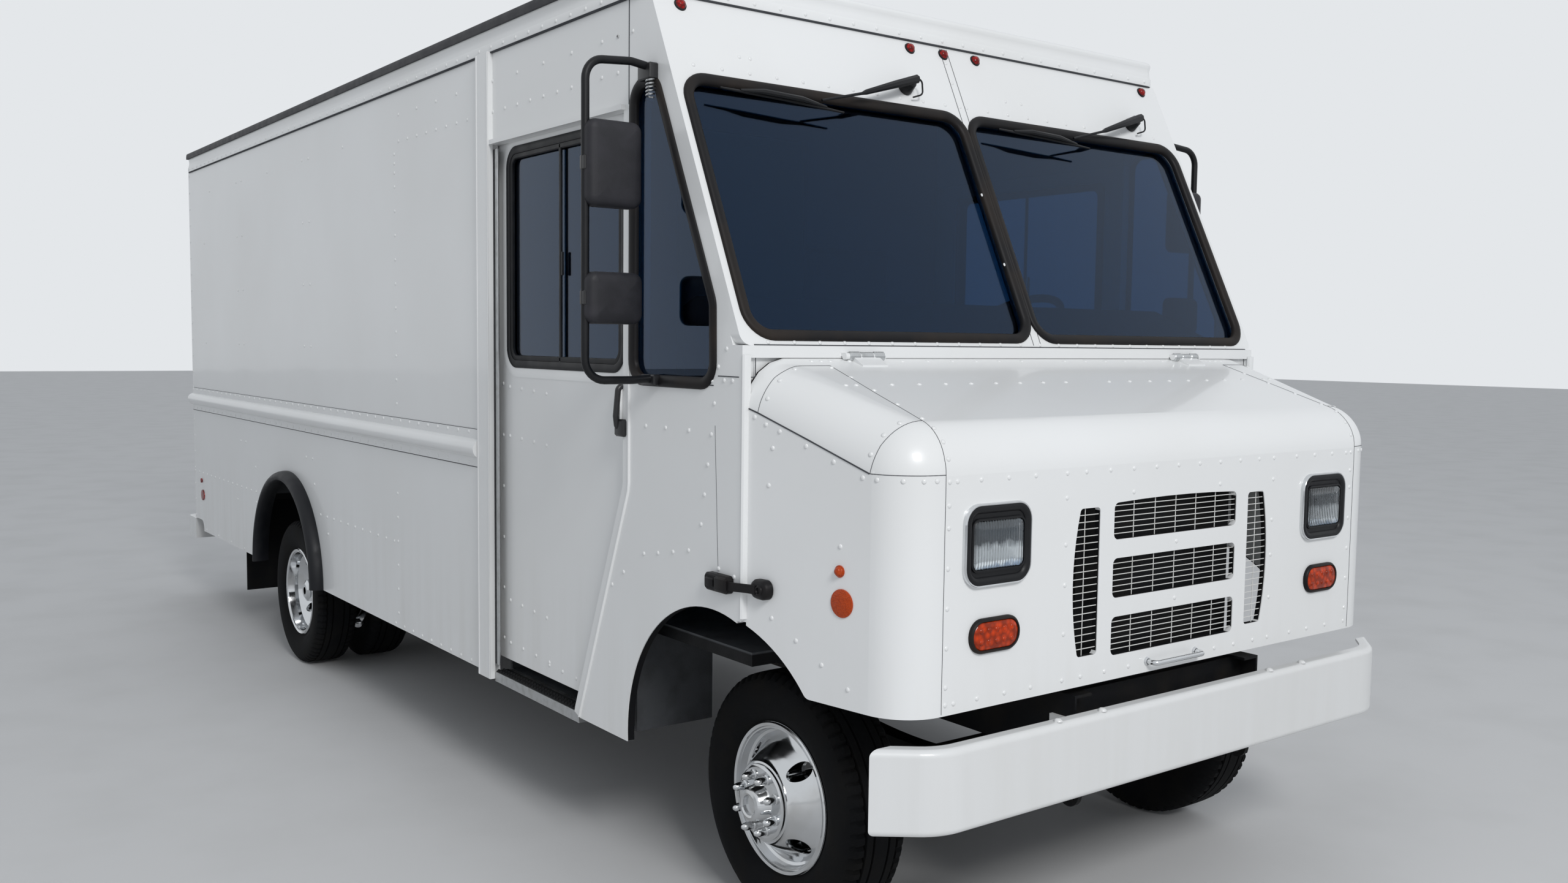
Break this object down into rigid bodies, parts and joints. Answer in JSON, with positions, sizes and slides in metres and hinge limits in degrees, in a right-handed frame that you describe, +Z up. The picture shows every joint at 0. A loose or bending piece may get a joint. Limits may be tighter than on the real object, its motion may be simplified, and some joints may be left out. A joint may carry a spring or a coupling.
{
  "type": "walk-in step van",
  "caption": "Walk-in step van with a riveted aluminium body, short hinged nose, sliding cab doors, rear doors and twin rear wheels.",
  "frame": {"origin": "on the ground, under the middle of the whole van's length and width", "axes": "+Z up, the front faces -Y, the van's left side is +X"},
  "size_m": [2.834, 7.09, 2.88],
  "materials": {
    "body_paint": "gloss",
    "inner_paint": "satin",
    "grey_deck": "satin",
    "steel_black": "satin",
    "cast_steel": "matte",
    "exhaust_steel": "satin",
    "bare_aluminium": "satin",
    "chrome_trim": "mirror",
    "chrome_wheel": "mirror",
    "white_wire": "gloss",
    "black_rubber": "matte",
    "tyre_rubber": "matte",
    "black_plastic": "matte",
    "seat_vinyl": "satin",
    "amber_lens": "gloss",
    "red_lens": "gloss",
    "tinted_glass": "gloss"
  },
  "bodies": {
    "root": {"cargo_sides": "body_paint", "wheel_flares": "black_rubber", "roof": "body_paint", "screen_frame": "body_paint", "cab_glass": "tinted_glass", "cab_sides": "body_paint", "cab_front": "body_paint", "door_surrounds": "body_paint", "floor": "grey_deck", "step_nosings": "bare_aluminium", "bulkhead": "inner_paint", "rear_frame": "body_paint", "front_bumper": "body_paint", "rear_bumper": "body_paint", "frame_rails": "steel_black", "crossmembers": "steel_black", "outriggers": "steel_black", "tow_eyes": "steel_black", "leaf_springs": "steel_black", "front_axle": "cast_steel", "rear_axle": "cast_steel", "engine_block": "cast_steel", "radiator": "bare_aluminium", "exhaust_pipe": "exhaust_steel", "fuel_tank": "steel_black", "mud_flaps": "black_rubber", "rub_rails": "body_paint", "dashboard": "black_plastic", "steering_wheel": "black_plastic", "seat_base": "steel_black", "seat_pads": "seat_vinyl", "mirrors": "black_plastic", "wipers": "black_plastic", "header_lamps": "amber_lens", "tail_lamps": "red_lens"},
    "hood": {"hood_shell": "body_paint", "grille_bars": "white_wire", "headlamps": "chrome_trim", "indicator_lamps": "amber_lens", "hood_handle": "chrome_trim"},
    "door_right": {"door_right": "body_paint", "door_right_glass": "tinted_glass"},
    "door_left": {"door_left": "body_paint", "door_left_glass": "tinted_glass"},
    "rear_door_right": {"rear_door_right": "body_paint", "rear_door_right_glass": "tinted_glass"},
    "rear_door_left": {"rear_door_left": "body_paint", "rear_door_left_glass": "tinted_glass"},
    "knuckle_right": {"knuckle_right": "cast_steel"},
    "knuckle_left": {"knuckle_left": "cast_steel"},
    "front_wheel_right": {"front_rim_right": "chrome_wheel", "front_tyre_right": "tyre_rubber"},
    "front_wheel_left": {"front_rim_left": "chrome_wheel", "front_tyre_left": "tyre_rubber"},
    "rear_wheels_right": {"rear_rims_right": "chrome_wheel", "rear_tyres_right": "tyre_rubber"},
    "rear_wheels_left": {"rear_rims_left": "chrome_wheel", "rear_tyres_left": "tyre_rubber"}
  },
  "joints": [
    {"name": "hood_hinge", "type": "hinge", "parent": "root", "child": "hood", "pos_m": [0, -2.925, 1.697], "axis": [-1, 0, 0], "range_deg": [0, 60]},
    {"name": "door_right_slide", "type": "slide", "parent": "root", "child": "door_right", "axis": [0, 1, 0], "range_m": [0, 0.88]},
    {"name": "door_left_slide", "type": "slide", "parent": "root", "child": "door_left", "axis": [0, 1, 0], "range_m": [0, 0.88]},
    {"name": "rear_door_right_hinge", "type": "hinge", "parent": "root", "child": "rear_door_right", "pos_m": [-1.112, 3.338, 1.74], "axis": [0, 0, 1], "range_deg": [0, 170]},
    {"name": "rear_door_left_hinge", "type": "hinge", "parent": "root", "child": "rear_door_left", "pos_m": [1.112, 3.338, 1.74], "axis": [0, 0, -1], "range_deg": [0, 170]},
    {"name": "steer_right", "type": "hinge", "parent": "root", "child": "knuckle_right", "pos_m": [-0.705, -2.765, 0.377], "axis": [0, 0, 1], "range_deg": [-32, 32]},
    {"name": "steer_left", "type": "hinge", "parent": "root", "child": "knuckle_left", "pos_m": [0.705, -2.765, 0.377], "axis": [0, 0, 1], "range_deg": [-32, 32]},
    {"name": "front_wheel_right_spin", "type": "hinge", "parent": "knuckle_right", "child": "front_wheel_right", "pos_m": [-0.838, -2.765, 0.377], "axis": [1, 0, 0], "continuous": true},
    {"name": "front_wheel_left_spin", "type": "hinge", "parent": "knuckle_left", "child": "front_wheel_left", "pos_m": [0.838, -2.765, 0.377], "axis": [1, 0, 0], "continuous": true},
    {"name": "rear_wheels_right_spin", "type": "hinge", "parent": "root", "child": "rear_wheels_right", "pos_m": [-0.9, 1.248, 0.377], "axis": [1, 0, 0], "continuous": true},
    {"name": "rear_wheels_left_spin", "type": "hinge", "parent": "root", "child": "rear_wheels_left", "pos_m": [0.9, 1.248, 0.377], "axis": [1, 0, 0], "continuous": true}
  ],
  "couplings": [
    {"joint": "steer_left", "follows": "steer_right", "ratio": 1}
  ]
}
